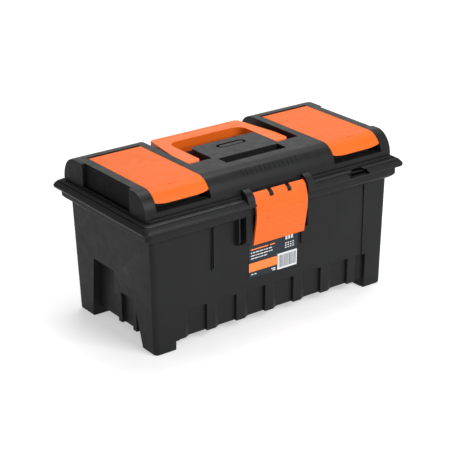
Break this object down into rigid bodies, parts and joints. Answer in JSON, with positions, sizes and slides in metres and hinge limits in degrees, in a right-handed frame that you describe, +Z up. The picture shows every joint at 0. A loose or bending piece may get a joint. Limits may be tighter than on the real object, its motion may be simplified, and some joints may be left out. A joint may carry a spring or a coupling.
{
  "type": "carpenter toolbox",
  "caption": "Plastic carpenter's toolbox with a hinged domed lid, fold-down bail handle, front draw latch, lidded organizers in the lid and a lift-out tote tray.",
  "frame": {"origin": "middle of the footprint, on the ground", "axes": "+X along the length to the right seen from the latch side, -Y towards the latch, +Z up"},
  "size_m": [0.408, 0.2213, 0.214],
  "materials": {
    "tub_plastic": "black moulded polypropylene, fine matt grain with a soft sheen",
    "lid_plastic": "black moulded polypropylene, fine matt grain with a soft sheen",
    "bin_plastic": "dark grey moulded polypropylene, satin",
    "tray_plastic": "black moulded polypropylene, satin",
    "cover_plastic": "orange moulded polypropylene, fine matt grain",
    "handle_plastic": "orange moulded polypropylene, satin",
    "latch_plastic": "orange moulded polypropylene, satin with faint cross ridges",
    "pin_steel": "drawn steel wire",
    "label_film": "printed self-adhesive film"
  },
  "bodies": {
    "tub_body": {"tub": "tub_plastic", "tote_tray": "tray_plastic", "label": "label_film", "rear_hinge_pin_left": "pin_steel", "rear_hinge_pin_right": "pin_steel"},
    "lid_body": {"lid_shell": "lid_plastic", "latch_pin": "pin_steel", "organizer_bin_left": "bin_plastic", "organizer_bin_left_divider_1": "bin_plastic", "organizer_bin_left_divider_2": "bin_plastic", "organizer_rod_left": "pin_steel", "handle_pin_left": "pin_steel", "organizer_bin_right": "bin_plastic", "organizer_bin_right_divider_1": "bin_plastic", "organizer_bin_right_divider_2": "bin_plastic", "organizer_rod_right": "pin_steel", "handle_pin_right": "pin_steel"},
    "handle_body": {"carry_handle": "handle_plastic"},
    "latch_body": {"front_latch": "latch_plastic"},
    "cover_left_body": {"organizer_lid_left": "cover_plastic"},
    "cover_right_body": {"organizer_lid_right": "cover_plastic"}
  },
  "joints": [
    {"name": "lid_hinge", "type": "hinge", "parent": "tub_body", "child": "lid_body", "pos_m": [0, 0.1074, 0.166], "axis": [-1, 0, 0], "range_deg": [0, 105]},
    {"name": "handle_hinge", "type": "hinge", "parent": "lid_body", "child": "handle_body", "pos_m": [0, -0.013, 0.2032], "axis": [1, 0, 0], "range_deg": [0, 90]},
    {"name": "latch_hinge", "type": "hinge", "parent": "lid_body", "child": "latch_body", "pos_m": [0, -0.1018, 0.1795], "axis": [-1, 0, 0], "range_deg": [0, 100]},
    {"name": "organizer_lid_left_hinge", "type": "hinge", "parent": "lid_body", "child": "cover_left_body", "pos_m": [-0.13625, 0.0605, 0.2093], "axis": [-1, 0, 0], "range_deg": [0, 95]},
    {"name": "organizer_lid_right_hinge", "type": "hinge", "parent": "lid_body", "child": "cover_right_body", "pos_m": [0.13625, 0.0605, 0.2093], "axis": [-1, 0, 0], "range_deg": [0, 95]}
  ]
}
